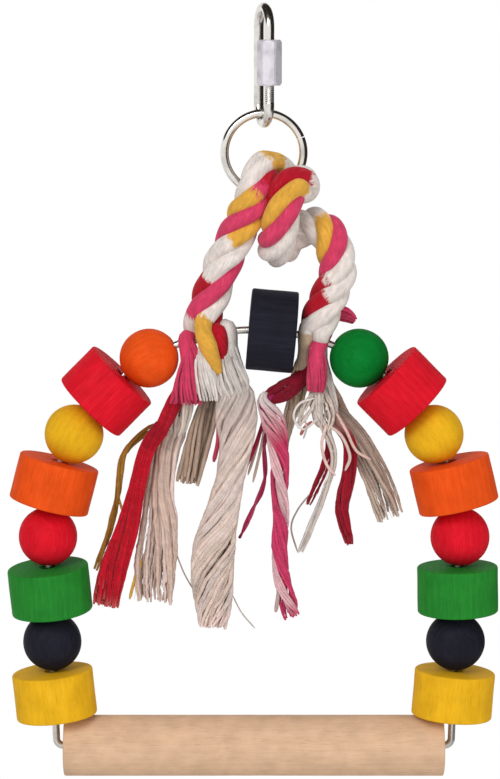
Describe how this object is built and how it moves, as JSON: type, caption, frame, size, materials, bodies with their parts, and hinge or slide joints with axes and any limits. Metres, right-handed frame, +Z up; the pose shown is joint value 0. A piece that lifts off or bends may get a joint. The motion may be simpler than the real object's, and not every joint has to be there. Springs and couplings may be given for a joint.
{
  "type": "bird arch swing",
  "caption": "Hanging swing perch for cage birds: screw link, ring, twisted rope with loose ends, wire arch strung with dyed wooden balls and blocks, round wooden perch.",
  "frame": {"origin": "inside of the screw link's upper bow, where it hangs on a bar or hook", "axes": "+Z up along the hanging line, +X along the perch to the picture's right, +Y away from the viewer through the arch"},
  "size_m": [0.2005, 0.0357, 0.316],
  "materials": {
    "steel": "bright nickel-plated steel rod and wire",
    "natural_wood": "bare beech, sanded",
    "wood_red": "dyed wood, satin",
    "wood_orange": "dyed wood, satin",
    "wood_yellow": "dyed wood, satin",
    "wood_green": "dyed wood, satin",
    "wood_black": "dyed wood, satin",
    "rope_cotton": "twisted cotton, strands cream, gold, pink and red",
    "cotton_cream": "loose cotton strands",
    "cotton_white": "loose cotton strands",
    "cotton_gold": "loose cotton strands",
    "cotton_pink": "loose cotton strands",
    "cotton_red": "loose cotton strands",
    "cotton_taupe": "loose cotton strands"
  },
  "bodies": {
    "link": {"quick_link": "steel"},
    "nut": {"sleeve_nut": "steel"},
    "ring": {"hang_ring": "steel"},
    "rope": {"rope": "rope_cotton", "tassel_beige": "cotton_taupe", "tassel_cream": "cotton_cream", "tassel_cream_ply": "cotton_cream", "tassel_dark_red": "cotton_red", "tassel_gold": "cotton_gold", "tassel_pink_thin": "cotton_pink", "tassel_pink_twist": "cotton_pink", "tassel_red": "cotton_red", "tassel_red_right": "cotton_red", "tassel_taupe": "cotton_taupe", "tassel_taupe_brush": "cotton_taupe", "tassel_white": "cotton_white"},
    "arch": {"arch_wire": "steel"},
    "perch": {"perch": "natural_wood"},
    "ball_left_black": {"ball_left_black": "wood_black"},
    "ball_left_orange": {"ball_left_orange": "wood_orange"},
    "ball_left_red": {"ball_left_red": "wood_red"},
    "ball_left_yellow": {"ball_left_yellow": "wood_yellow"},
    "ball_right_black": {"ball_right_black": "wood_black"},
    "ball_right_green": {"ball_right_green": "wood_green"},
    "ball_right_red": {"ball_right_red": "wood_red"},
    "ball_right_yellow": {"ball_right_yellow": "wood_yellow"},
    "block_left_green": {"block_left_green": "wood_green"},
    "block_left_orange": {"block_left_orange": "wood_orange"},
    "block_left_red": {"block_left_red": "wood_red"},
    "block_left_yellow": {"block_left_yellow": "wood_yellow"},
    "block_right_green": {"block_right_green": "wood_green"},
    "block_right_orange": {"block_right_orange": "wood_orange"},
    "block_right_red": {"block_right_red": "wood_red"},
    "block_right_yellow": {"block_right_yellow": "wood_yellow"},
    "block_top_black": {"block_top_black": "wood_black"}
  },
  "joints": [
    {"name": "nut_travel", "type": "slide", "parent": "link", "child": "nut", "axis": [0, 0, -1], "range_m": [0, 0.007]},
    {"name": "ring_swing", "type": "hinge", "parent": "link", "child": "ring", "pos_m": [0, 0, -0.04], "axis": [1, 0, 0], "range_deg": [-80, 80]},
    {"name": "rope_sway", "type": "hinge", "parent": "ring", "child": "rope", "pos_m": [0, 0, -0.0558], "axis": [0, 1, 0], "range_deg": [-40, 40]},
    {"name": "arch_rock", "type": "hinge", "parent": "rope", "child": "arch", "pos_m": [-0.0028, 0, -0.13044], "axis": [0.9999, 0, -0.0148], "range_deg": [-15, 15]},
    {"name": "perch_turn", "type": "hinge", "parent": "arch", "child": "perch", "pos_m": [-0.004, 0, -0.29961], "axis": [1, 0, 0], "continuous": true},
    {"name": "ball_left_black_spin", "type": "hinge", "parent": "arch", "child": "ball_left_black", "pos_m": [-0.08661, 0, -0.25582], "axis": [-0.0321, 0, 0.9995], "continuous": true},
    {"name": "ball_left_orange_spin", "type": "hinge", "parent": "arch", "child": "ball_left_orange", "pos_m": [-0.04646, 0, -0.13877], "axis": [0.8629, 0, 0.5054], "continuous": true},
    {"name": "ball_left_red_spin", "type": "hinge", "parent": "arch", "child": "ball_left_red", "pos_m": [-0.088, 0, -0.21205], "axis": [-0.0095, 0, 1], "continuous": true},
    {"name": "ball_left_yellow_spin", "type": "hinge", "parent": "arch", "child": "ball_left_yellow", "pos_m": [-0.07707, 0, -0.16981], "axis": [0.4933, 0, 0.8699], "continuous": true},
    {"name": "ball_right_black_spin", "type": "hinge", "parent": "arch", "child": "ball_right_black", "pos_m": [0.07861, 0, -0.25576], "axis": [0.0321, 0, 0.9995], "continuous": true},
    {"name": "ball_right_green_spin", "type": "hinge", "parent": "arch", "child": "ball_right_green", "pos_m": [0.03853, 0, -0.13881], "axis": [-0.8623, 0, 0.5064], "continuous": true},
    {"name": "ball_right_red_spin", "type": "hinge", "parent": "arch", "child": "ball_right_red", "pos_m": [0.07999, 0, -0.21213], "axis": [0.0104, 0, 0.9999], "continuous": true},
    {"name": "ball_right_yellow_spin", "type": "hinge", "parent": "arch", "child": "ball_right_yellow", "pos_m": [0.06911, 0, -0.16989], "axis": [-0.4923, 0, 0.8704], "continuous": true},
    {"name": "block_left_green_spin", "type": "hinge", "parent": "arch", "child": "block_left_green", "pos_m": [-0.08732, 0, -0.23393], "axis": [-0.0931, -0.0695, 0.9932], "continuous": true},
    {"name": "block_left_orange_spin", "type": "hinge", "parent": "arch", "child": "block_left_orange", "pos_m": [-0.08532, 0, -0.19021], "axis": [0.2505, 0.0338, 0.9675], "continuous": true},
    {"name": "block_left_red_spin", "type": "hinge", "parent": "arch", "child": "block_left_red", "pos_m": [-0.06381, 0, -0.15227], "axis": [0.7021, 0, 0.712], "continuous": true},
    {"name": "block_left_yellow_spin", "type": "hinge", "parent": "arch", "child": "block_left_yellow", "pos_m": [-0.08591, 0, -0.27766], "axis": [-0.1017, 0, 0.9948], "continuous": true},
    {"name": "block_right_green_spin", "type": "hinge", "parent": "arch", "child": "block_right_green", "pos_m": [0.07931, 0, -0.23394], "axis": [-0.0202, 0, 0.9998], "continuous": true},
    {"name": "block_right_orange_spin", "type": "hinge", "parent": "arch", "child": "block_right_orange", "pos_m": [0.07736, 0, -0.19034], "axis": [-0.232, 0.017, 0.9726], "continuous": true},
    {"name": "block_right_red_spin", "type": "hinge", "parent": "arch", "child": "block_right_red", "pos_m": [0.05588, 0, -0.15233], "axis": [-0.7014, 0, 0.7128], "continuous": true},
    {"name": "block_right_yellow_spin", "type": "hinge", "parent": "arch", "child": "block_right_yellow", "pos_m": [0.07791, 0, -0.27758], "axis": [0.0757, 0.0174, 0.997], "continuous": true},
    {"name": "block_top_black_spin", "type": "hinge", "parent": "arch", "child": "block_top_black", "pos_m": [0.00339, 0, -0.12758], "axis": [0.9961, 0, -0.088], "continuous": true}
  ]
}
